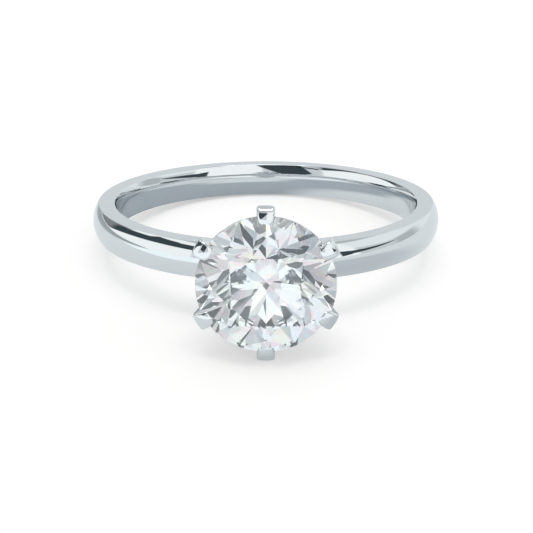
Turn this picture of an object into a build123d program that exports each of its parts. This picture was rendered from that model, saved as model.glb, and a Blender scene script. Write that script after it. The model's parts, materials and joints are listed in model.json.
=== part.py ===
"""Six-claw solitaire engagement ring, lying on its side on a level surface.

Two frames are used, both in millimetres.
Ring frame: origin at the centre of the finger hole, +Z along the finger, the stone towards -Y.
Row frame: the same ring leaned back until it lies on the outside of its lowest claw and on the
lower back edge of the band. +Z is up from that surface, the stone still faces -Y, and the origin
is the centre of the footprint, on the surface.
"""
from build123d import *
import math
import os

# Band: court section, domed outside, softly domed inside, with narrow flat sides
FINGER_RADIUS = 8.28          # inside radius on the middle line of the band
SIDE_INNER_RADIUS = 8.45      # where the inside dome meets the flat side
SIDE_OUTER_RADIUS = 9.33      # where the outside dome meets the flat side
BAND_OUTER_RADIUS = 9.65      # outside radius on the middle line
BAND_WIDTH = 1.90
FINGER_LAND = 0.20            # straight stretch in the middle of the inside dome
EDGE_ROUND = 0.05             # softened corners of the flat sides

# Heights below are measured from the finger axis along the stone's axis
SEAT_HEIGHT = 9.42            # flat filed on top of the band, where the head stands

# Round brilliant stone
GIRDLE_RADIUS = 3.387
GIRDLE_HEIGHT = 12.67         # lower edge of the girdle
GIRDLE_THICKNESS = 0.20
TABLE_RATIO = 0.53            # table width, corner to corner, over the stone's diameter
CROWN_ANGLE = 35.7
PAVILION_ANGLE = 41.5
STAR_LENGTH = 0.52            # how far a star facet reaches from the table to the girdle
LOWER_HALF_LENGTH = 0.78      # how far a lower half facet reaches from the girdle to the culet
MAIN_FACETS = 8

# Claws: six wires of rectangular section, bent at the shoulder and filed to a low dome over the crown
CLAW_COUNT = 6
CLAW_WIDTH = 0.88
CLAW_NOSE_RADIUS = 3.01       # how far from the stone's axis the nose ends
CLAW_NOSE_CORNER = 0.30       # rounding of the nose in plan
CLAW_FOOT_INNER = 1.155       # radius of the foot's inner face where it stands on the seat
CLAW_FOOT_OUTER = 1.945
CLAW_REACH = 3.873            # outermost radius, at the shoulder
SHOULDER_RADIUS = 0.42
SHOULDER_HEIGHT = 12.674      # height of the middle of the shoulder's arc
DOME_RADIUS = 1.0
DOME_TILT = 22.9              # tilt of the skin, from level, where the shoulder meets the dome
CLAW_EDGE_ROUND = 0.11
CLAW_KNEE_HEIGHT = 12.55      # the throat under the fold lies wholly inside the stone's seat
CLAW_THROAT_HEIGHT = 12.78
CLAW_THROAT_RADIUS = 3.36

# Base rail, a conical collar on the seat
BASE_RAIL_HEIGHT = 0.80
BASE_RAIL_INNER = 0.95
BASE_RAIL_OUTER = 1.50
BASE_RAIL_FLARE = 0.32        # how much wider the collar is at its top

# Gallery rail, a flat ring between the claws, under the stone
GALLERY_HEIGHT = 11.30
GALLERY_DEPTH = 0.56
GALLERY_INNER = 2.34
GALLERY_OUTER = 2.90
GALLERY_ROUND = 0.14

GIRDLE_TOP = GIRDLE_HEIGHT + GIRDLE_THICKNESS
TABLE_RADIUS = TABLE_RATIO * GIRDLE_RADIUS
CROWN_SLOPE = math.tan(math.radians(CROWN_ANGLE))
PAVILION_SLOPE = math.tan(math.radians(PAVILION_ANGLE))
TABLE_HEIGHT = GIRDLE_TOP + (GIRDLE_RADIUS - TABLE_RADIUS) * CROWN_SLOPE
CULET_HEIGHT = GIRDLE_HEIGHT - GIRDLE_RADIUS * PAVILION_SLOPE
FACET_STEP = 360 / MAIN_FACETS

# The head is drawn around +Z as its own axis, then laid over so that +Z becomes -Y of the ring
HEAD_TO_RING = Rot(X=90)


def band():
    """The shank: one turned and polished hoop with a flat seat filed for the head."""
    half = BAND_WIDTH / 2
    land = FINGER_LAND / 2
    side_rise = SIDE_INNER_RADIUS - FINGER_RADIUS
    side_run = half - land
    inner_arc = (side_run**2 + side_rise**2) / (2 * side_rise)
    with BuildPart() as hoop:
        with BuildSketch(Plane.XZ) as section:
            with BuildLine():
                outer_low = (SIDE_OUTER_RADIUS, -half)
                outer_high = (SIDE_OUTER_RADIUS, half)
                ThreePointArc(outer_low, (BAND_OUTER_RADIUS, 0), outer_high)
                Line(outer_high, (SIDE_INNER_RADIUS, half))
                RadiusArc((SIDE_INNER_RADIUS, half), (FINGER_RADIUS, land), -inner_arc)
                Line((FINGER_RADIUS, land), (FINGER_RADIUS, -land))
                RadiusArc((FINGER_RADIUS, -land), (SIDE_INNER_RADIUS, -half), -inner_arc)
                Line((SIDE_INNER_RADIUS, -half), outer_low)
            make_face()
            corners = section.vertices().filter_by(lambda v: abs(v.Z) > land + EDGE_ROUND)
            fillet(corners, EDGE_ROUND)
        revolve(axis=Axis.Z)
    filed = Pos(0, -SEAT_HEIGHT - BAND_WIDTH / 2, 0) * Box(BAND_OUTER_RADIUS, BAND_WIDTH, 2 * BAND_WIDTH)
    return hoop.part - filed


def facet_plane(a, b, c):
    """A plane through three points, facing away from the stone's middle."""
    middle = Vector(0, 0, GIRDLE_HEIGHT)
    a, b, c = Vector(*a), Vector(*b), Vector(*c)
    normal = (b - a).cross(c - a).normalized()
    if normal.dot(a - middle) < 0:
        normal = -normal
    return Plane(origin=a, z_dir=normal)


def at(radius, azimuth, height):
    """A point given by its distance from the stone's axis, its azimuth and its height."""
    angle = math.radians(azimuth)
    return (radius * math.cos(angle), radius * math.sin(angle), height)


def diamond():
    """A round brilliant: a round blank cut by its 8 + 8 + 16 crown and 8 + 16 pavilion facets."""
    half_step = FACET_STEP / 2
    half_cos = math.cos(math.radians(half_step))
    table_edge = TABLE_RADIUS * half_cos
    star_tip = table_edge + STAR_LENGTH * (GIRDLE_RADIUS - table_edge)
    star_height = GIRDLE_TOP + (GIRDLE_RADIUS - star_tip * half_cos) * CROWN_SLOPE
    keel = (1 - LOWER_HALF_LENGTH) * GIRDLE_RADIUS
    keel_height = GIRDLE_HEIGHT - (GIRDLE_RADIUS - keel * half_cos) * PAVILION_SLOPE
    planes = []
    for index in range(MAIN_FACETS):
        # the table's edges, not its corners, face the claws at twelve and six o'clock
        azimuth = half_step + index * FACET_STEP
        side = at(GIRDLE_RADIUS, azimuth + 90, 0)
        for top, height in ((at(TABLE_RADIUS, azimuth, TABLE_HEIGHT), GIRDLE_TOP),
                            ((0, 0, CULET_HEIGHT), GIRDLE_HEIGHT)):
            foot = at(GIRDLE_RADIUS, azimuth, height)
            across = (foot[0] + side[0], foot[1] + side[1], height)
            planes.append(facet_plane(top, foot, across))
        corner = at(TABLE_RADIUS, azimuth, TABLE_HEIGHT)
        next_corner = at(TABLE_RADIUS, azimuth + FACET_STEP, TABLE_HEIGHT)
        star = at(star_tip, azimuth + half_step, star_height)
        planes.append(facet_plane(corner, next_corner, star))
        for main in (azimuth, azimuth + FACET_STEP):
            between = azimuth + half_step
            planes.append(facet_plane(star, at(GIRDLE_RADIUS, main, GIRDLE_TOP),
                                      at(GIRDLE_RADIUS, between, GIRDLE_TOP)))
            planes.append(facet_plane(at(keel, between, keel_height),
                                      at(GIRDLE_RADIUS, main, GIRDLE_HEIGHT),
                                      at(GIRDLE_RADIUS, between, GIRDLE_HEIGHT)))
    blank_height = TABLE_HEIGHT - CULET_HEIGHT
    stone = Pos(0, 0, CULET_HEIGHT + blank_height / 2) * Cylinder(GIRDLE_RADIUS, blank_height)
    for plane in planes:
        stone = split(stone, bisect_by=plane, keep=Keep.BOTTOM)
    return stone


def claw_shoulder():
    """(centre, leg tilt) of the shoulder arc: a circle that the straight leg meets as a tangent."""
    centre = Vector(CLAW_REACH - SHOULDER_RADIUS, SHOULDER_HEIGHT)
    away = centre - Vector(CLAW_FOOT_OUTER, SEAT_HEIGHT)
    lean = math.atan2(away.X, away.Y) + math.asin(SHOULDER_RADIUS / away.length)
    return centre, math.degrees(lean)


def on_arc(centre, radius, tilt):
    """The point of an arc where its skin is tilted by so many degrees from level."""
    angle = math.radians(tilt)
    return centre + Vector(math.sin(angle), math.cos(angle)) * radius


def claw_outline():
    """Side view of a claw at azimuth 0, with the stone's seat still uncut."""
    shoulder, lean = claw_shoulder()
    leg_top = on_arc(shoulder, SHOULDER_RADIUS, 90 + lean)
    bend = on_arc(shoulder, SHOULDER_RADIUS, (90 + lean + DOME_TILT) / 2)
    dome_start = on_arc(shoulder, SHOULDER_RADIUS, DOME_TILT)
    dome = on_arc(shoulder, SHOULDER_RADIUS - DOME_RADIUS, DOME_TILT)
    nose_tilt = math.degrees(math.asin((CLAW_NOSE_RADIUS - dome.X) / DOME_RADIUS))
    dome_middle = on_arc(dome, DOME_RADIUS, (DOME_TILT + nose_tilt) / 2)
    nose = on_arc(dome, DOME_RADIUS, nose_tilt)
    knee = CLAW_FOOT_INNER + math.tan(math.radians(lean)) * (CLAW_KNEE_HEIGHT - SEAT_HEIGHT)
    with BuildSketch(Plane.XZ) as outline:
        with BuildLine():
            Line((CLAW_FOOT_INNER, SEAT_HEIGHT), (CLAW_FOOT_OUTER, SEAT_HEIGHT))
            Line((CLAW_FOOT_OUTER, SEAT_HEIGHT), leg_top)
            ThreePointArc(leg_top, bend, dome_start)
            ThreePointArc(dome_start, dome_middle, nose)
            Polyline(nose, (nose.X, CLAW_THROAT_HEIGHT), (CLAW_THROAT_RADIUS, CLAW_THROAT_HEIGHT),
                     (knee, CLAW_KNEE_HEIGHT), (CLAW_FOOT_INNER, SEAT_HEIGHT))
        make_face()
    return outline.sketch


def claw_blank():
    """One claw at azimuth 0, before the stone's seat is cut: a bent wire with rounded edges."""
    wire = extrude(claw_outline(), CLAW_WIDTH / 2, both=True)
    wire = fillet(wire.edges().filter_by(Axis.Z), CLAW_NOSE_CORNER)
    shoulder_rims = wire.edges().filter_by(
        lambda e: e.center().X > CLAW_REACH - SHOULDER_RADIUS / 2 and abs(e.center().Y) > CLAW_WIDTH / 4
    )
    return fillet(shoulder_rims, CLAW_EDGE_ROUND)


def base_rail_blank():
    """The conical collar that stands on the seat, before the claws are let into it."""
    with BuildPart() as collar:
        with BuildSketch(Plane.XZ):
            with BuildLine():
                Polyline(
                    (BASE_RAIL_INNER, SEAT_HEIGHT),
                    (BASE_RAIL_OUTER, SEAT_HEIGHT),
                    (BASE_RAIL_OUTER + BASE_RAIL_FLARE, SEAT_HEIGHT + BASE_RAIL_HEIGHT),
                    (BASE_RAIL_INNER + BASE_RAIL_FLARE, SEAT_HEIGHT + BASE_RAIL_HEIGHT),
                    close=True,
                )
            make_face()
        revolve(axis=Axis.Z)
    return collar.part


def gallery_rail_blank():
    """The ring that ties the claws together under the stone, before they are let into it."""
    with BuildPart() as ring:
        with BuildSketch(Plane.XZ) as section:
            with Locations(((GALLERY_INNER + GALLERY_OUTER) / 2, GALLERY_HEIGHT)):
                Rectangle(GALLERY_OUTER - GALLERY_INNER, GALLERY_DEPTH)
            fillet(section.vertices(), GALLERY_ROUND)
        revolve(axis=Axis.Z)
    return ring.part


def lean_angle():
    """Tilt of the resting ring, in degrees: the line that touches the bend of the lowest claw and
    the rounded lower edge at the back of the band, both of which are circles in the side view."""
    half = BAND_WIDTH / 2
    dome_rise = BAND_OUTER_RADIUS - SIDE_OUTER_RADIUS
    dome_arc = (half**2 + dome_rise**2) / (2 * dome_rise)
    edge_low = half - EDGE_ROUND
    edge_reach = math.sqrt((dome_arc - EDGE_ROUND) ** 2 - edge_low**2)
    back_edge = (BAND_OUTER_RADIUS - dome_arc + edge_reach, -edge_low)
    shoulder, _ = claw_shoulder()
    claw_bend = (-shoulder.Y, -shoulder.X)
    run = back_edge[0] - claw_bend[0]
    rise = back_edge[1] - claw_bend[1]
    radius_gap = SHOULDER_RADIUS - EDGE_ROUND
    return math.degrees(math.atan2(rise, run) + math.asin(radius_gap / math.hypot(run, rise)))


def main():
    """Builds the ten pieces in the ring frame, lays the ring down and writes one file for each."""
    stone = diamond()
    wires = [Rot(Z=90 - index * 360 / CLAW_COUNT) * claw_blank() for index in range(CLAW_COUNT)]
    head = {"diamond": stone}
    for index, wire in enumerate(wires):
        head[f"claw_{index + 1}"] = wire - stone
    base_rail = base_rail_blank()
    gallery_rail = gallery_rail_blank()
    for wire in wires:
        base_rail = base_rail - wire
        gallery_rail = gallery_rail - wire
    head["base_rail"] = base_rail
    head["gallery_rail"] = gallery_rail

    lean = Rot(X=-lean_angle())
    pieces = {"shank": lean * band()}
    for name, shape in head.items():
        pieces[name] = lean * HEAD_TO_RING * shape
    box = Compound(list(pieces.values())).bounding_box()
    shift = (-box.center().X, -box.center().Y, -box.min.Z)
    os.makedirs("parts", exist_ok=True)
    for name, shape in pieces.items():
        export_step(Pos(*shift) * shape, f"parts/{name}.step")
    hole = Pos(*shift) * lean
    print("lean", lean_angle(), "finger hole centre", hole.position)
    print("finger axis", Plane(hole).z_dir, "overall size", box.size)


main()
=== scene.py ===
import json
import math

import bmesh
import bpy
from mathutils import Matrix, Vector


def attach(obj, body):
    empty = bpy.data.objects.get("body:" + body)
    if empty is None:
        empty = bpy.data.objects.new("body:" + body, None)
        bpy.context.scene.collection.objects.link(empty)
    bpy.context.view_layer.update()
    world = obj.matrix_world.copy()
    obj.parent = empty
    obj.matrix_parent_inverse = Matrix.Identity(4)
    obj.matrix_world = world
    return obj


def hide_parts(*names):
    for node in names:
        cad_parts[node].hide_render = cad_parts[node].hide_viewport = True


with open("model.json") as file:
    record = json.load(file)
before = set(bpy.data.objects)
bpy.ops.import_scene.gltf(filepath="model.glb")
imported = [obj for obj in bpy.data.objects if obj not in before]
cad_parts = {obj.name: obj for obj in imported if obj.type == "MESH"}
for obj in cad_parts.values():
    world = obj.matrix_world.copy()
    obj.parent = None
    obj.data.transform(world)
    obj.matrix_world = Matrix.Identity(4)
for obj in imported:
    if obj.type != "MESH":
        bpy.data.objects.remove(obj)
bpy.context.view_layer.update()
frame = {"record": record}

MM = 0.001

# Sizes below are in millimetres in the ring's own frame: +Z along the finger, the stone towards -Y.

# Band: court section
FINGER_RADIUS = 8.28
SIDE_INNER_RADIUS = 8.45
SIDE_OUTER_RADIUS = 9.33
BAND_OUTER_RADIUS = 9.65
HALF_WIDTH = 0.95
HALF_LAND = 0.10
EDGE_ROUND = 0.05
BAND_SEGMENTS = 384
BAND_DOME_STEPS = 56
HOLLOW_STEPS = 24
EDGE_STEPS = 6
SEAT_HEIGHT = 9.42

# Stone: round brilliant, heights from the finger axis
GIRDLE_RADIUS = 3.387
GIRDLE_HEIGHT = 12.67
GIRDLE_TOP = 12.87
TABLE_RADIUS = 0.53 * GIRDLE_RADIUS
CROWN_SLOPE = math.tan(math.radians(35.7))
PAVILION_SLOPE = math.tan(math.radians(41.5))
TABLE_HEIGHT = GIRDLE_TOP + (GIRDLE_RADIUS - TABLE_RADIUS) * CROWN_SLOPE
CULET_HEIGHT = GIRDLE_HEIGHT - GIRDLE_RADIUS * PAVILION_SLOPE
STAR_LENGTH = 0.52
LOWER_HALF_LENGTH = 0.78
MAIN_FACETS = 8
GIRDLE_SEGMENTS = 128
GIRDLE_TILT = 0.02

# Claws: wires of rounded rectangular section, bent and filed to a low dome over the crown
CLAW_COUNT = 6
CLAW_HALF_WIDTH = 0.44
CLAW_FOOT_OUTER = 1.945
CLAW_THICKNESS = 0.673
CLAW_REACH = 3.873
SHOULDER_RADIUS = 0.42
SHOULDER_HEIGHT = 12.674
DOME_RADIUS = 1.0
DOME_START = math.radians(67.1)
DOME_END = math.radians(98.6)
NOSE_RADIUS = 0.07
NOSE_END = math.radians(175)
NOSE_TIP = 3.015
NOSE_HALF_WIDTH = 0.345
NOSE_CORNER = 0.18
CLAW_EDGE_ROUND = 0.12
FLAT_CROWN = 4.0
FILED_CROWN = 1.1
THROAT = (3.10, 12.84)
LEG_STATIONS = 12
SHOULDER_STEPS = 24
DOME_STEPS = 20
NOSE_STEPS = 6
CROWN_STEPS = 8
ROUND_STEPS = 7
CLAW_TAPER = 1.6
CLAW_SHARP_ANGLE = 32
STONE_GAP = 0.004

# Rails under the stone
BASE_RAIL_SECTION = ((0.95, 9.42), (1.50, 9.42), (1.82, 10.22), (1.27, 10.22))
BASE_RAIL_ROUND = 0.05
GALLERY_SECTION = ((2.34, 11.02), (2.90, 11.02), (2.90, 11.58), (2.34, 11.58))
GALLERY_ROUND = 0.14
RAIL_SEGMENTS = 128

# Metals: darker tone, lighter tone, roughness from and to, strength of the polishing marks
BAND_METAL = ((0.755, 0.775, 0.785), (0.775, 0.79, 0.80), (0.006, 0.018), 0.02)
HEAD_METAL = ((0.77, 0.785, 0.795), (0.785, 0.80, 0.81), (0.01, 0.025), 0.03)
MARK_DEPTH = 0.01

# Noises: repeats for each metre and detail, and the part of their range that is used
TONE_NOISE = (900, 2)
WEAR_NOISE = (2600, 4)
MARK_NOISE = (1400, 3)
NOISE_LOW = 0.3
NOISE_HIGH = 0.7

# Diamond: its optics, patches for each metre and their tints, which are painted coloured light
# standing in for its fire, and the glow that makes up for a part of the light that the renderer
# stops following inside the stone
DIAMOND_IOR = 2.417
GIRDLE_ROUGHNESS = 0.18
FIRE_SCALE = 1800
PAINTED_FIRE_TINTS = ((0.91, 0.96, 1.0), (0.96, 0.98, 1.0), (1.0, 0.80, 0.84), (0.93, 0.97, 1.0),
              (0.96, 0.96, 0.80), (0.85, 0.93, 1.0), (1.0, 0.88, 0.91), (0.95, 0.975, 1.0))
LOST_LIGHT = 0.011
LOST_LIGHT_TINT = (0.76, 0.88, 1.0)

# Studio: colours of light, and the left gap as (tone, azimuths, softness, levels, softness)
BASE_LIGHT = (0.60, 0.64, 0.66)
STUDIO_TINT = (0.945, 1.0, 1.03)
BRIGHT_CARD = (1.09, 1.12, 1.125)
GAP_COLOUR = (0.05, 0.07, 0.08)
LEFT_GAP_BEND = 57.0
LEFT_GAP_SINK = 0.0054
LEFT_GAP = ((0.27, (-165, -112), 6, (24.2, 45), 1.5),
            (GAP_COLOUR, (-122, -48), 4, (24.2, 38.5), 1.2))
LAMP = (5.0, 5.0, 4.94)
LAMP_EDGE = 71.5
LAMP_SCREEN = 0.72
BACKDROP = (0.985, 0.985, 0.985)

# Floor, sizes in metres: its colour to the camera, and to the rays mirrored by metal and stone
FLOOR_SIZE = 0.8
FLOOR_COLOUR = (1.02, 1.0, 0.985)
FLOOR_MATT = 0.70
FLOOR_GLOW = 0.40
FLOOR_REFLECTED = (0.895, 0.925, 0.94)
REFLECTED_MATT = 0.67
REFLECTED_GLOW = 0.31
# Painted light: a lighter sheet on the floor towards the left and the front left, seen only in
# reflections
PAINTED_LIGHT_SHEET = (1.18, 1.24, 1.27)
PAINTED_LIGHT_SHEET_SOFT = 0.0006
PAINTED_LIGHT_SHEET_EDGES = (((-0.69, -0.72), 0.0178), ((-1.0, 0.0), 0.0263))
# Painted shade: darker patches on the floor, seen only in reflections, at the ring's right, inside
# it and far to the left
PAINTED_SHADE_PATCHES = (((0.66, 0.70, 0.73), (0.011, -0.011), 0.005, 0.013),
                 ((0.50, 0.55, 0.585), (-0.004, 0.007), 0.0054, 0.0076),
                 ((0.44, 0.48, 0.50), (-0.092, 0.080), 0.094, 0.104))

# Camera, in the ring's frame
CAMERA_DISTANCE = 79.44
CAMERA_ELEVATION = math.radians(15.11)
CAMERA_PITCH = math.radians(17.21)
CAMERA_SIDE = 0.027
SENSOR_WIDTH = 36.0
CAMERA_LENS = 95.18
CLIP_START = 1 * MM
CLIP_END = 10000 * MM


def ring_matrix():
    """The ring's own frame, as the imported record's finger hole gives it, in the row frame."""
    hole = next(m for m in frame["record"]["mounts"] if m["name"] == "finger_hole")
    finger = Vector(hole["axis"]).normalized()
    side = Vector((1, 0, 0))
    turn = Matrix((side, finger.cross(side), finger)).transposed().to_4x4()
    return Matrix.Translation(Vector(hole["pos_m"])) @ turn @ Matrix.Scale(MM, 4)


RING = ring_matrix()
# The head is drawn around +Z as its own axis, and laid over so that +Z becomes -Y of the ring
HEAD = RING @ Matrix.Rotation(math.radians(90), 4, "X")


# ---------------------------------------------------------------- mesh helpers

def arc(centre, radius, start, end, steps):
    """Points and outward normals of an arc in a section plane, from one angle to another."""
    made = []
    for index in range(steps + 1):
        angle = start + (end - start) * index / steps
        normal = (math.cos(angle), math.sin(angle))
        made.append(((centre[0] + radius * normal[0], centre[1] + radius * normal[1]), normal))
    return made


def rounded_polygon(corners, radius, steps=5):
    """A closed outline, drawn anticlockwise, whose corners are rounded by arcs."""
    made = []
    count = len(corners)
    for index in range(count):
        before = Vector(corners[index - 1])
        here = Vector(corners[index])
        after = Vector(corners[(index + 1) % count])
        into = (here - before).normalized()
        out = (after - here).normalized()
        turn = math.atan2(into.x * out.y - into.y * out.x, into.dot(out))
        reach = radius * math.tan(turn / 2)
        normal = Vector((into.y, -into.x))
        centre = here - into * reach - normal * radius
        start = math.atan2(normal.y, normal.x)
        made += arc(centre, radius, start, start + turn, steps)
    return made


def lathe(section, segments):
    """Turns a closed section of ((radius, height), normal) about +Z. The exact normals go along."""
    mesh = bmesh.new()
    layer = mesh.verts.layers.float_vector.new("exact_normal")
    rows = []
    for index in range(segments):
        angle = 2 * math.pi * index / segments
        along, across = math.cos(angle), math.sin(angle)
        row = []
        for (radius, height), (out, up) in section:
            vertex = mesh.verts.new((radius * along, radius * across, height))
            vertex[layer] = (out * along, out * across, up)
            row.append(vertex)
        rows.append(row)
    count = len(section)
    for index in range(segments):
        row, following = rows[index], rows[(index + 1) % segments]
        for place in range(count):
            step = (place + 1) % count
            mesh.faces.new((row[place], following[place], following[step], row[step]))
    return mesh


def flatten_top(mesh, height):
    """Files the band flat for the head: everything beyond the height goes, and the cut is closed."""
    geometry = mesh.verts[:] + mesh.edges[:] + mesh.faces[:]
    bmesh.ops.bisect_plane(mesh, geom=geometry, dist=1e-6, plane_co=(0, -height, 0),
                           plane_no=(0, -1, 0), clear_outer=True)
    rim = [edge for edge in mesh.edges if edge.is_boundary]
    filled = bmesh.ops.triangle_fill(mesh, edges=rim, use_beauty=True)
    return [face for face in filled["geom"] if isinstance(face, bmesh.types.BMFace)]


def finished(name, mesh, matrix, smooth=True):
    """Moves a mesh into the row frame and makes it an object."""
    bmesh.ops.transform(mesh, matrix=matrix, verts=mesh.verts)
    bmesh.ops.recalc_face_normals(mesh, faces=mesh.faces)
    for face in mesh.faces:
        face.smooth = smooth
    data = bpy.data.meshes.new(name)
    mesh.to_mesh(data)
    mesh.free()
    piece = bpy.data.objects.new(name, data)
    bpy.context.scene.collection.objects.link(piece)
    return piece


def use_exact_normals(piece, matrix, flat_cosine=0.7):
    """Shades a turned piece by the exact normals of its section, and its filed flats as flats."""
    data = piece.data
    turn = matrix.to_3x3().normalized()
    exact = [turn @ Vector(item.vector) for item in data.attributes["exact_normal"].data]
    normals = []
    for polygon in data.polygons:
        for corner in polygon.vertices:
            normal = exact[corner]
            aligned = normal.length > 0.5 and normal.normalized().dot(polygon.normal) > flat_cosine
            normals.append(normal.normalized() if aligned else polygon.normal)
    data.normals_split_custom_set(normals)
    data.attributes.remove(data.attributes["exact_normal"])


def sharpen(piece, degrees):
    """Keeps edges sharper than the angle as edges, and weighs normals by face size elsewhere."""
    mesh = bmesh.new()
    mesh.from_mesh(piece.data)
    for edge in mesh.edges:
        edge.smooth = len(edge.link_faces) == 2 and edge.calc_face_angle(0) < math.radians(degrees)
    mesh.to_mesh(piece.data)
    mesh.free()
    weighted = piece.modifiers.new("weighted", "WEIGHTED_NORMAL")
    weighted.keep_sharp = True
    weighted.weight = 100


def apply_modifiers(piece):
    graph = bpy.context.evaluated_depsgraph_get()
    data = bpy.data.meshes.new_from_object(piece.evaluated_get(graph), depsgraph=graph)
    piece.modifiers.clear()
    piece.data = data


# ---------------------------------------------------------------- materials

def node_material(name):
    material = bpy.data.materials.new(name)
    material.use_nodes = True
    nodes = material.node_tree.nodes
    return material, nodes, material.node_tree.links, nodes["Principled BSDF"]


def noise(nodes, links, scale, detail):
    """Noise over the piece, with its scale in repeats for each metre."""
    place = nodes.new("ShaderNodeTexCoord")
    texture = nodes.new("ShaderNodeTexNoise")
    texture.inputs["Scale"].default_value = scale
    texture.inputs["Detail"].default_value = detail
    links.new(place.outputs["Object"], texture.inputs["Vector"])
    return texture.outputs["Fac"]


def ramp(nodes, links, source, low, high):
    """Maps the middle of a noise to the range between two values or two colours."""
    if isinstance(low, tuple):
        node = nodes.new("ShaderNodeValToRGB")
        node.color_ramp.elements[0].position = NOISE_LOW
        node.color_ramp.elements[0].color = (*low, 1)
        node.color_ramp.elements[1].position = NOISE_HIGH
        node.color_ramp.elements[1].color = (*high, 1)
        links.new(source, node.inputs["Fac"])
        return node.outputs["Color"]
    node = nodes.new("ShaderNodeMapRange")
    node.inputs["From Min"].default_value = NOISE_LOW
    node.inputs["From Max"].default_value = NOISE_HIGH
    node.inputs["To Min"].default_value = low
    node.inputs["To Max"].default_value = high
    links.new(source, node.inputs["Value"])
    return node.outputs["Result"]


def polished_metal(name, dark, light, roughness, marks):
    """Polished platinum: a cool mirror with a faint unevenness left by the polishing wheel."""
    material, nodes, links, shader = node_material(name)
    shader.inputs["Metallic"].default_value = 1.0
    tone = noise(nodes, links, *TONE_NOISE)
    links.new(ramp(nodes, links, tone, dark, light), shader.inputs["Base Color"])
    wear = noise(nodes, links, *WEAR_NOISE)
    links.new(ramp(nodes, links, wear, *roughness), shader.inputs["Roughness"])
    height = noise(nodes, links, *MARK_NOISE)
    bump = nodes.new("ShaderNodeBump")
    bump.inputs["Strength"].default_value = marks
    bump.inputs["Distance"].default_value = MARK_DEPTH * MM
    links.new(height, bump.inputs["Height"])
    links.new(bump.outputs["Normal"], shader.inputs["Normal"])
    return material


def diamond_material(name, roughness):
    """Diamond: clear glass of high refractive index. Small patches of faint tints are painted
    coloured light that stands in for its fire. A trace of glow, which a real stone lacks, lifts
    the facets that go too dark where the renderer stops following light that is reflected many
    times inside the stone."""
    material, nodes, links, shader = node_material(name)
    shader.inputs["IOR"].default_value = DIAMOND_IOR
    shader.inputs["Transmission Weight"].default_value = 1.0
    shader.inputs["Roughness"].default_value = roughness
    place = nodes.new("ShaderNodeTexCoord")
    cells = nodes.new("ShaderNodeTexVoronoi")
    cells.inputs["Scale"].default_value = FIRE_SCALE
    links.new(place.outputs["Object"], cells.inputs["Vector"])
    pick = nodes.new("ShaderNodeSeparateColor")
    links.new(cells.outputs["Color"], pick.inputs[0])
    # painted coloured light: tinted patches standing in for the stone's fire
    tints = nodes.new("ShaderNodeValToRGB")
    tints.color_ramp.interpolation = "CONSTANT"
    for index, colour in enumerate(PAINTED_FIRE_TINTS):
        position = index / len(PAINTED_FIRE_TINTS)
        stops = tints.color_ramp.elements
        stop = stops[index] if index < 2 else stops.new(position)
        stop.position = position
        stop.color = (*colour, 1)
    links.new(pick.outputs[0], tints.inputs["Fac"])
    links.new(tints.outputs["Color"], shader.inputs["Base Color"])
    shader.inputs["Emission Color"].default_value = (*LOST_LIGHT_TINT, 1)
    shader.inputs["Emission Strength"].default_value = LOST_LIGHT
    return material


# ---------------------------------------------------------------- pieces

def finish_piece(piece, node, slot, *materials):
    for material in materials:
        piece.data.materials.append(material)
    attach(piece, "ring")
    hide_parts(node)
    return piece


def band_section():
    """The court section, from the low outer corner round by way of the outside dome."""
    rise = BAND_OUTER_RADIUS - SIDE_OUTER_RADIUS
    dome = (HALF_WIDTH**2 + rise**2) / (2 * rise)
    dome_centre = BAND_OUTER_RADIUS - dome
    drop = SIDE_INNER_RADIUS - FINGER_RADIUS
    run = HALF_WIDTH - HALF_LAND
    hollow = (run**2 + drop**2) / (2 * drop)
    low = HALF_WIDTH - EDGE_ROUND
    # the edge arcs join the outside dome and the inside hollow to the flat side
    join = math.asin(low / (dome - EDGE_ROUND))
    outer_edge = dome_centre + (dome - EDGE_ROUND) * math.cos(join)
    inner_join = math.asin((low - HALF_LAND) / (hollow - EDGE_ROUND))
    inner_edge = FINGER_RADIUS + hollow - (hollow - EDGE_ROUND) * math.cos(inner_join)
    half_turn = math.pi / 2
    points = arc((dome_centre, 0), dome, -join, join, BAND_DOME_STEPS)
    points += arc((outer_edge, low), EDGE_ROUND, join, half_turn, EDGE_STEPS)[1:]
    points += arc((inner_edge, low), EDGE_ROUND, half_turn, math.pi - inner_join, EDGE_STEPS)
    points += arc((FINGER_RADIUS + hollow, HALF_LAND), hollow,
                  math.pi - inner_join, math.pi, HOLLOW_STEPS)[1:]
    lower = [((radius, -height), (out, -up))
             for (radius, height), (out, up) in points[BAND_DOME_STEPS + 1:]]
    return points + lower[::-1]


def make_band(metal):
    mesh = lathe(band_section(), BAND_SEGMENTS)
    flatten_top(mesh, SEAT_HEIGHT)
    piece = finished("polished_shank", mesh, RING)
    use_exact_normals(piece, RING)
    return finish_piece(piece, "shank", "band_metal", metal)


def make_rail(name, node, corners, rounding, metal):
    mesh = lathe(rounded_polygon(corners, rounding), RAIL_SEGMENTS)
    piece = finished(name, mesh, HEAD)
    use_exact_normals(piece, HEAD)
    return finish_piece(piece, node, "head_metal", metal)


def at(radius, azimuth, height):
    angle = math.radians(azimuth)
    return Vector((radius * math.cos(angle), radius * math.sin(angle), height))


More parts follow.
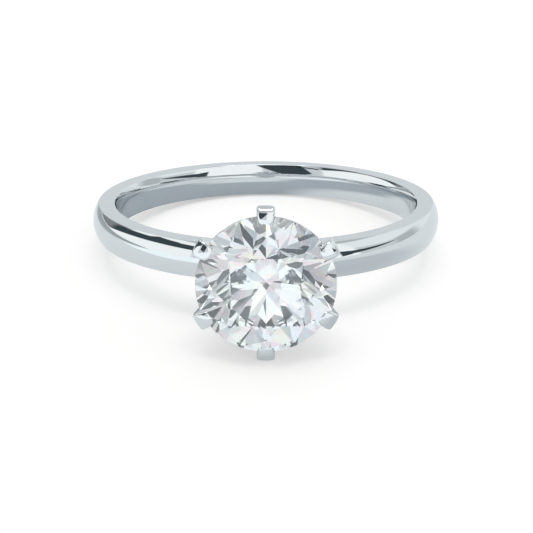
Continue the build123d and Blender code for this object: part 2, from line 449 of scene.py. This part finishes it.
def facet_planes():
    """(point, outward normal) of the table, 8 mains, 8 stars and 16 halves above, 8 and 16 below."""
    half_step = 180 / MAIN_FACETS
    half_cos = math.cos(math.radians(half_step))
    table_edge = TABLE_RADIUS * half_cos
    star_tip = table_edge + STAR_LENGTH * (GIRDLE_RADIUS - table_edge)
    star_height = GIRDLE_TOP + (GIRDLE_RADIUS - star_tip * half_cos) * CROWN_SLOPE
    keel = (1 - LOWER_HALF_LENGTH) * GIRDLE_RADIUS
    keel_height = GIRDLE_HEIGHT - (GIRDLE_RADIUS - keel * half_cos) * PAVILION_SLOPE
    triples = [[at(1, azimuth, TABLE_HEIGHT) for azimuth in (0, 120, 240)]]
    for index in range(MAIN_FACETS):
        main = half_step * (2 * index + 1)
        between = main + half_step
        side = at(GIRDLE_RADIUS, main + 90, 0)
        upper, lower = at(GIRDLE_RADIUS, main, GIRDLE_TOP), at(GIRDLE_RADIUS, main, GIRDLE_HEIGHT)
        corner = at(TABLE_RADIUS, main, TABLE_HEIGHT)
        following = at(TABLE_RADIUS, main + 2 * half_step, TABLE_HEIGHT)
        star = at(star_tip, between, star_height)
        culet = Vector((0, 0, CULET_HEIGHT))
        triples += [[corner, upper, upper + side], [culet, lower, lower + side],
                    [corner, following, star]]
        for foot in (main, main + 2 * half_step):
            triples.append([star, at(GIRDLE_RADIUS, foot, GIRDLE_TOP),
                            at(GIRDLE_RADIUS, between, GIRDLE_TOP)])
            triples.append([at(keel, between, keel_height), at(GIRDLE_RADIUS, foot, GIRDLE_HEIGHT),
                            at(GIRDLE_RADIUS, between, GIRDLE_HEIGHT)])
    planes = []
    middle = Vector((0, 0, GIRDLE_HEIGHT))
    for first, second, third in triples:
        normal = (second - first).cross(third - first).normalized()
        if normal.dot(first - middle) < 0:
            normal = -normal
        planes.append((first, normal))
    return planes


def cut_stone(grow=0.0):
    """A round blank cut by every facet plane, each moved outwards by grow."""
    mesh = bmesh.new()
    low, high = CULET_HEIGHT - 1, TABLE_HEIGHT + 1
    rings = []
    for height in (low, high):
        rings.append([mesh.verts.new(at(GIRDLE_RADIUS + grow, 360 * index / GIRDLE_SEGMENTS, height))
                      for index in range(GIRDLE_SEGMENTS)])
    for index in range(GIRDLE_SEGMENTS):
        step = (index + 1) % GIRDLE_SEGMENTS
        mesh.faces.new((rings[0][index], rings[0][step], rings[1][step], rings[1][index]))
    mesh.faces.new(rings[0][::-1])
    mesh.faces.new(rings[1])
    for point, normal in facet_planes():
        geometry = mesh.verts[:] + mesh.edges[:] + mesh.faces[:]
        bmesh.ops.bisect_plane(mesh, geom=geometry, dist=1e-5, plane_co=point + normal * grow,
                               plane_no=normal, clear_outer=True)
        rim = [edge for edge in mesh.edges if edge.is_boundary]
        if rim:
            bmesh.ops.contextual_create(mesh, geom=rim)
    bmesh.ops.remove_doubles(mesh, verts=mesh.verts, dist=1e-4)
    return mesh


def make_stone(clear, frosted):
    """The cut stone: polished flat facets, and a narrow ground girdle, whose faces stand upright."""
    mesh = cut_stone()
    for face in mesh.faces:
        face.normal_update()
        face.material_index = 1 if abs(face.normal.z) < GIRDLE_TILT else 0
    piece = finished("cut_diamond", mesh, HEAD, smooth=False)
    for polygon in piece.data.polygons:
        polygon.use_smooth = polygon.material_index == 1
    return finish_piece(piece, "diamond", "stone", clear, frosted)


def claw_path():
    """The claw's outer line in side view, from below the foot to the nose: points and normals."""
    foot = Vector((CLAW_FOOT_OUTER, SEAT_HEIGHT))
    shoulder = Vector((CLAW_REACH - SHOULDER_RADIUS, SHOULDER_HEIGHT))
    away = shoulder - foot
    slope = math.atan2(away.y, away.x) - math.asin(SHOULDER_RADIUS / away.length)
    leg_angle = slope - math.pi / 2
    leg_normal = (math.cos(leg_angle), math.sin(leg_angle))
    leg_top = shoulder + SHOULDER_RADIUS * Vector(leg_normal)
    below = foot - CLAW_THICKNESS * Vector((math.cos(slope), math.sin(slope)))
    path = [(below.lerp(leg_top, step / LEG_STATIONS), leg_normal) for step in range(LEG_STATIONS)]
    start = Vector((math.cos(DOME_START), math.sin(DOME_START)))
    dome = shoulder + (SHOULDER_RADIUS - DOME_RADIUS) * start
    end = Vector((math.cos(DOME_END), math.sin(DOME_END)))
    nose = dome + (DOME_RADIUS - NOSE_RADIUS) * end
    path += arc(shoulder, SHOULDER_RADIUS, leg_angle, DOME_START, SHOULDER_STEPS)
    path += arc(dome, DOME_RADIUS, DOME_START, DOME_END, DOME_STEPS)[1:]
    path += arc(nose, NOSE_RADIUS, DOME_END, NOSE_END, NOSE_STEPS)[1:]
    return [(Vector(point), Vector(normal)) for point, normal in path]


def claw_half_width(radius):
    """Drawn in over the crown, and rounded off in plan at the nose."""
    share = min(max((CLAW_REACH - radius) / (CLAW_REACH - NOSE_TIP), 0), 1)
    width = CLAW_HALF_WIDTH + (NOSE_HALF_WIDTH - CLAW_HALF_WIDTH) * share**CLAW_TAPER
    into_corner = min(max((NOSE_TIP + NOSE_CORNER - radius) / NOSE_CORNER, 0), 1)
    return width - NOSE_CORNER * (1 - math.sqrt(1 - into_corner**2))


def claw_section(half, crown):
    """Half of the wire's section, from the middle of its outer side: (across, depth) points."""
    middle = half - CLAW_EDGE_ROUND
    centre = crown - math.sqrt((crown - CLAW_EDGE_ROUND) ** 2 - middle**2)
    join = math.atan2(middle, crown - centre)
    turns = [join * step / CROWN_STEPS for step in range(CROWN_STEPS + 1)]
    points = [(crown * math.sin(turn), crown - crown * math.cos(turn)) for turn in turns]
    for step in range(1, ROUND_STEPS + 1):
        angle = join + (math.pi / 2 - join) * step / ROUND_STEPS
        points.append((middle + CLAW_EDGE_ROUND * math.sin(angle),
                       centre - CLAW_EDGE_ROUND * math.cos(angle)))
    return points


def claw_blank():
    """The bent and filed wire. Its underside reaches into the stone, and is cut away after."""
    path = claw_path()
    top, top_normal = path[LEG_STATIONS]
    leg_end = top - CLAW_THICKNESS * top_normal
    mesh = bmesh.new()
    rows = []
    for index, (point, normal) in enumerate(path):
        folded = max(index - LEG_STATIONS, 0) / (len(path) - 1 - LEG_STATIONS)
        half, crown = CLAW_HALF_WIDTH, FLAT_CROWN
        inner = point - CLAW_THICKNESS * normal
        if index >= LEG_STATIONS:
            half = claw_half_width(point.x)
            crown = 1 / (1 / FLAT_CROWN + (1 / FILED_CROWN - 1 / FLAT_CROWN) * folded)
            inner = leg_end.lerp(Vector(THROAT), folded)
        section = claw_section(half, crown)
        skin = [(-across, depth) for across, depth in section[:0:-1]] + section
        row = []
        for across, depth in skin:
            place = point - depth * normal
            row.append(mesh.verts.new((place.x, across, place.y)))
        for across in (half, -half):
            row.append(mesh.verts.new((inner.x, across, inner.y)))
        rows.append(row)
    for row, following in zip(rows, rows[1:]):
        for place in range(len(row)):
            step = (place + 1) % len(row)
            mesh.faces.new((row[place], row[step], following[step], following[place]))
    mesh.faces.new(rows[0][::-1])
    mesh.faces.new(rows[-1])
    geometry = mesh.verts[:] + mesh.edges[:] + mesh.faces[:]
    bmesh.ops.bisect_plane(mesh, geom=geometry, dist=1e-6, plane_co=(0, 0, SEAT_HEIGHT),
                           plane_no=(0, 0, -1), clear_outer=True)
    rim = [edge for edge in mesh.edges if edge.is_boundary]
    bmesh.ops.contextual_create(mesh, geom=rim)
    return mesh


def make_claw(index, metal, cutter):
    mesh = claw_blank()
    turn = Matrix.Rotation(math.radians(90 - 360 / CLAW_COUNT * index), 4, "Z")
    piece = finished(f"claw_wire_{index + 1}", mesh, HEAD @ turn)
    seat = piece.modifiers.new("seat", "BOOLEAN")
    seat.operation = "DIFFERENCE"
    seat.solver = "EXACT"
    seat.object = cutter
    apply_modifiers(piece)
    sharpen(piece, CLAW_SHARP_ANGLE)
    return finish_piece(piece, f"claw_{index + 1}", "head_metal", metal)


# ---------------------------------------------------------------- studio

def make_camera():
    data = bpy.data.cameras.new("camera")
    data.sensor_width = SENSOR_WIDTH
    data.lens = CAMERA_LENS
    data.clip_start = CLIP_START
    data.clip_end = CLIP_END
    camera = bpy.data.objects.new("camera", data)
    bpy.context.scene.collection.objects.link(camera)
    place = Vector((CAMERA_SIDE, -CAMERA_DISTANCE * math.cos(CAMERA_ELEVATION),
                    CAMERA_DISTANCE * math.sin(CAMERA_ELEVATION)))
    turn = RING.to_3x3().normalized().to_4x4()
    look = Matrix.Rotation(math.pi / 2 - CAMERA_PITCH, 4, "X")
    camera.matrix_world = Matrix.Translation(RING @ place) @ turn @ look
    bpy.context.scene.camera = camera


class World:
    """Builds the studio's light as a function of direction: az 0 is towards -Y and grows towards
    +X, el is the height above the horizon, both in degrees. Later panels cover earlier ones."""

    def __init__(self, colour):
        world = bpy.data.worlds.new("studio")
        bpy.context.scene.world = world
        world.use_nodes = True
        self.nodes = world.node_tree.nodes
        self.links = world.node_tree.links
        self.nodes.clear()
        place = self.nodes.new("ShaderNodeTexCoord")
        split = self.nodes.new("ShaderNodeSeparateXYZ")
        self.links.new(place.outputs["Generated"], split.inputs[0])
        x, y, z = split.outputs
        turn = self.math("ARCTAN2", x, self.math("MULTIPLY", y, -1.0))
        self.x = x
        self.y = y
        self.az = self.math("MULTIPLY", turn, math.degrees(1))
        self.el = self.math("MULTIPLY", self.math("ARCSINE", z), math.degrees(1))
        base = self.nodes.new("ShaderNodeRGB")
        base.outputs[0].default_value = (*colour, 1)
        self.level = base.outputs[0]

    def math(self, operation, *values):
        node = self.nodes.new("ShaderNodeMath")
        node.operation = operation
        for socket, value in zip(node.inputs, values):
            if isinstance(value, (int, float)):
                socket.default_value = value
            else:
                self.links.new(value, socket)
        return node.outputs[0]

    def step(self, value, edge, soft):
        """0 below the edge and 1 above it, changing over a soft stretch either side."""
        node = self.nodes.new("ShaderNodeMapRange")
        node.interpolation_type = "SMOOTHSTEP"
        node.inputs["From Min"].default_value = edge - soft
        node.inputs["From Max"].default_value = edge + soft
        self.links.new(value, node.inputs["Value"])
        return node.outputs["Result"]

    def between(self, value, low, high, soft):
        above = self.step(value, low, soft)
        below = self.math("SUBTRACT", 1.0, self.step(value, high, soft))
        return self.math("MULTIPLY", above, below)

    def paint(self, level, mask):
        """Lays a grey level, or a colour, over what is there, where the mask is."""
        colour = level if isinstance(level, tuple) else [level * tint for tint in STUDIO_TINT]
        node = self.nodes.new("ShaderNodeMix")
        node.data_type = "RGBA"
        node.clamp_factor = True
        self.links.new(mask, node.inputs["Factor"])
        self.links.new(self.level, node.inputs[6])
        node.inputs[7].default_value = (*colour, 1)
        self.level = node.outputs[2]

    def card(self, level, azimuths, elevations, soft):
        """A panel between two azimuths and two elevations."""
        self.paint(level, self.math("MULTIPLY", self.between(self.az, *azimuths, soft),
                                    self.between(self.el, *elevations, soft)))

    def shape(self, level, corners, soft=1.0):
        """A convex panel whose (azimuth, elevation) corners are given clockwise."""
        mask = 1.0
        for first, second in zip(corners, corners[1:] + corners[:1]):
            along = Vector(second) - Vector(first)
            inward = Vector((along.y, -along.x)).normalized()
            side = self.math("ADD", self.math("MULTIPLY", self.az, inward.x),
                             self.math("MULTIPLY", self.el, inward.y))
            mask = self.math("MULTIPLY", self.step(side, inward.dot(Vector(first)), soft), mask)
        self.paint(level, mask)

    def finish(self, backdrop):
        """The camera sees the plain backdrop, and everything else is lit by the studio."""
        path = self.nodes.new("ShaderNodeLightPath")
        seen = self.nodes.new("ShaderNodeMix")
        seen.data_type = "RGBA"
        self.links.new(path.outputs["Is Camera Ray"], seen.inputs["Factor"])
        self.links.new(self.level, seen.inputs[6])
        seen.inputs[7].default_value = (*backdrop, 1)
        shader = self.nodes.new("ShaderNodeBackground")
        self.links.new(seen.outputs[2], shader.inputs["Color"])
        out = self.nodes.new("ShaderNodeOutputWorld")
        self.links.new(shader.outputs[0], out.inputs["Surface"])


def make_light():
    """A white tent with dark gaps between its panels."""
    world = World(BASE_LIGHT)
    # overhead
    world.card(0.60, (-190, -24), (60, 95), 6)
    world.card(0.76, (-24, 46), (60, 95), 6)
    world.card(0.58, (46, 125), (30, 95), 6)
    # behind
    world.card(0.765, (160, 200), (-10, 34), 5)
    world.card(0.765, (-200, -166), (-10, 34), 4)
    # ahead, left of the camera: a middling panel low down, and a darker one above
    world.card(0.74, (-50, 6), (-10, 26), 4)
    world.card(0.54, (-50, 6), (38, 60), 4)
    # right: the brightest panel beside the camera, greyer ones further round
    world.card(0.73, (60, 122), (-10, 26), 3)
    world.shape(0.98, [(58, 24), (58, 46), (125, 30), (125, 11), (90, 13.5)], 1.5)
    world.card(0.56, (94, 122), (-10, 14), 3)
    world.card(0.95, (118, 165), (-10, 44), 8)
    world.card(BRIGHT_CARD, (3, 62), (-10, 46), 2)
    # left: a bright panel
    world.card(BRIGHT_CARD, (-140, -48), (-10, 47), 2.5)
    # the gap at the left, which sinks and fades towards the back, and a grey band that goes on
    # where it ends
    past = world.math("SUBTRACT", world.math("MULTIPLY", world.az, -1.0), LEFT_GAP_BEND)
    past = world.math("MAXIMUM", past, 0.0)
    sink = world.math("MULTIPLY", world.math("MULTIPLY", past, past), LEFT_GAP_SINK)
    level = world.math("ADD", world.el, sink)
    for tone, azimuths, az_soft, levels, soft in LEFT_GAP:
        band = world.math("MULTIPLY", world.between(world.az, *azimuths, az_soft),
                          world.between(level, *levels, soft))
        world.paint(tone, band)
    world.shape(GAP_COLOUR, [(-97, 25), (-92, 37.5), (-70, 39), (-70, 28)])
    # the gap ahead: a wedge that points down, with a line past its left corner
    world.shape(GAP_COLOUR, [(-38.5, 11.5), (-31, 37), (9.5, 37), (-18, 1.5)])
    world.shape(0.02, [(-46, 24.5), (-46, 27.5), (-27, 34), (-27, 31)], 0.6)
    # the gap at the right, which narrows
    world.shape(GAP_COLOUR, [(49, 2), (49, 20), (57, 16.5), (57, 5)])
    world.shape(GAP_COLOUR, [(54, 6), (54, 16.5), (93, 10.5), (93, 9.3)])
    # small bright lamp straight above, screened in the middle of its far side
    world.paint(LAMP, world.step(world.el, LAMP_EDGE, 2.5))
    screen = world.math("MULTIPLY", world.step(world.el, 66, 3), world.step(world.y, -0.08, 0.01))
    screen = world.math("MULTIPLY", screen, world.between(world.x, -0.22, 0.22, 0.01))
    world.paint(LAMP_SCREEN, screen)
    world.finish(BACKDROP)


def floor_blend(nodes, links, measure, vector, start, end, near, far):
    """Blends one tone of the floor into another from start to end, which are measured along a
    direction for DOT_PRODUCT and from a point for DISTANCE. A tone is a colour or a socket."""
    place = nodes.new("ShaderNodeTexCoord")
    reach = nodes.new("ShaderNodeVectorMath")
    reach.operation = measure
    reach.inputs[1].default_value = (*vector, 0)
    links.new(place.outputs["Object"], reach.inputs[0])
    edge = nodes.new("ShaderNodeMapRange")
    edge.interpolation_type = "SMOOTHSTEP"
    edge.inputs["From Min"].default_value = start
    edge.inputs["From Max"].default_value = end
    links.new(reach.outputs["Value"], edge.inputs["Value"])
    mix = nodes.new("ShaderNodeMix")
    mix.data_type = "RGBA"
    for socket, tone in ((mix.inputs[6], near), (mix.inputs[7], far)):
        if isinstance(tone, tuple):
            socket.default_value = (*tone, 1)
        else:
            links.new(tone, socket)
    links.new(edge.outputs["Result"], mix.inputs["Factor"])
    return mix.outputs[2]


def glowing(nodes, links, colour, matt_share, glow_share):
    """A matt surface that gives off a part of its brightness itself."""
    shaders = []
    for kind, share in (("ShaderNodeBsdfDiffuse", matt_share), ("ShaderNodeEmission", glow_share)):
        shader = nodes.new(kind)
        tone = nodes.new("ShaderNodeVectorMath")
        tone.operation = "SCALE"
        tone.inputs["Scale"].default_value = share
        links.new(colour, tone.inputs[0])
        links.new(tone.outputs[0], shader.inputs["Color"])
        shaders.append(shader)
    both = nodes.new("ShaderNodeAddShader")
    links.new(shaders[0].outputs[0], both.inputs[0])
    links.new(shaders[1].outputs[0], both.inputs[1])
    return both.outputs[0]


def make_floor():
    """A plain pale surface that shows white, with the ring's soft shadow on it. The metal and
    the stone mirror it in other greys, painted light and shade that the camera does not see: a
    lighter sheet of painted light, and darker patches of painted shade inside the ring, at its
    right and far to the left."""
    data = bpy.data.meshes.new("floor")
    corners = [(-1, -1), (1, -1), (1, 1), (-1, 1)]
    data.from_pydata([(x * FLOOR_SIZE, y * FLOOR_SIZE, 0) for x, y in corners], [], [(0, 1, 2, 3)])
    floor = bpy.data.objects.new("floor", data)
    bpy.context.scene.collection.objects.link(floor)
    material, nodes, links, shader = node_material("pale_floor")
    nodes.remove(shader)
    plain = nodes.new("ShaderNodeRGB")
    plain.outputs[0].default_value = (*FLOOR_COLOUR, 1)
    seen = glowing(nodes, links, plain.outputs[0], FLOOR_MATT, FLOOR_GLOW)
    sheet = nodes.new("ShaderNodeRGB")
    sheet.outputs[0].default_value = (*FLOOR_REFLECTED, 1)
    tone = sheet.outputs[0]
    # painted light: the lighter sheet, seen only by the metal and the stone
    for direction, reach in PAINTED_LIGHT_SHEET_EDGES:
        tone = floor_blend(nodes, links, "DOT_PRODUCT", direction, reach - PAINTED_LIGHT_SHEET_SOFT,
                           reach + PAINTED_LIGHT_SHEET_SOFT, tone, PAINTED_LIGHT_SHEET)
    # painted shade: the darker patches, seen only by the metal and the stone
    for colour, centre, inner, outer in PAINTED_SHADE_PATCHES:
        tone = floor_blend(nodes, links, "DISTANCE", centre, inner, outer, colour, tone)
    reflected = glowing(nodes, links, tone, REFLECTED_MATT, REFLECTED_GLOW)
    path = nodes.new("ShaderNodeLightPath")
    choice = nodes.new("ShaderNodeMixShader")
    links.new(path.outputs["Is Camera Ray"], choice.inputs["Fac"])
    links.new(reflected, choice.inputs[1])
    links.new(seen, choice.inputs[2])
    links.new(choice.outputs[0], nodes["Material Output"].inputs["Surface"])
    data.materials.append(material)


def main():
    band_metal = polished_metal("band_platinum", *BAND_METAL)
    head_metal = polished_metal("head_platinum", *HEAD_METAL)
    clear = diamond_material("diamond_polished", 0.0)
    frosted = diamond_material("diamond_girdle", GIRDLE_ROUGHNESS)

    make_band(band_metal)
    make_rail("base_collar", "base_rail", BASE_RAIL_SECTION, BASE_RAIL_ROUND, head_metal)
    make_rail("gallery_ring", "gallery_rail", GALLERY_SECTION, GALLERY_ROUND, head_metal)
    make_stone(clear, frosted)
    cutter = finished("seat_cutter", cut_stone(STONE_GAP), HEAD, smooth=False)
    for index in range(CLAW_COUNT):
        make_claw(index, head_metal, cutter)
    bpy.data.objects.remove(cutter)

    make_camera()
    make_light()
    make_floor()
    bpy.context.scene.view_settings.view_transform = "Standard"


main()
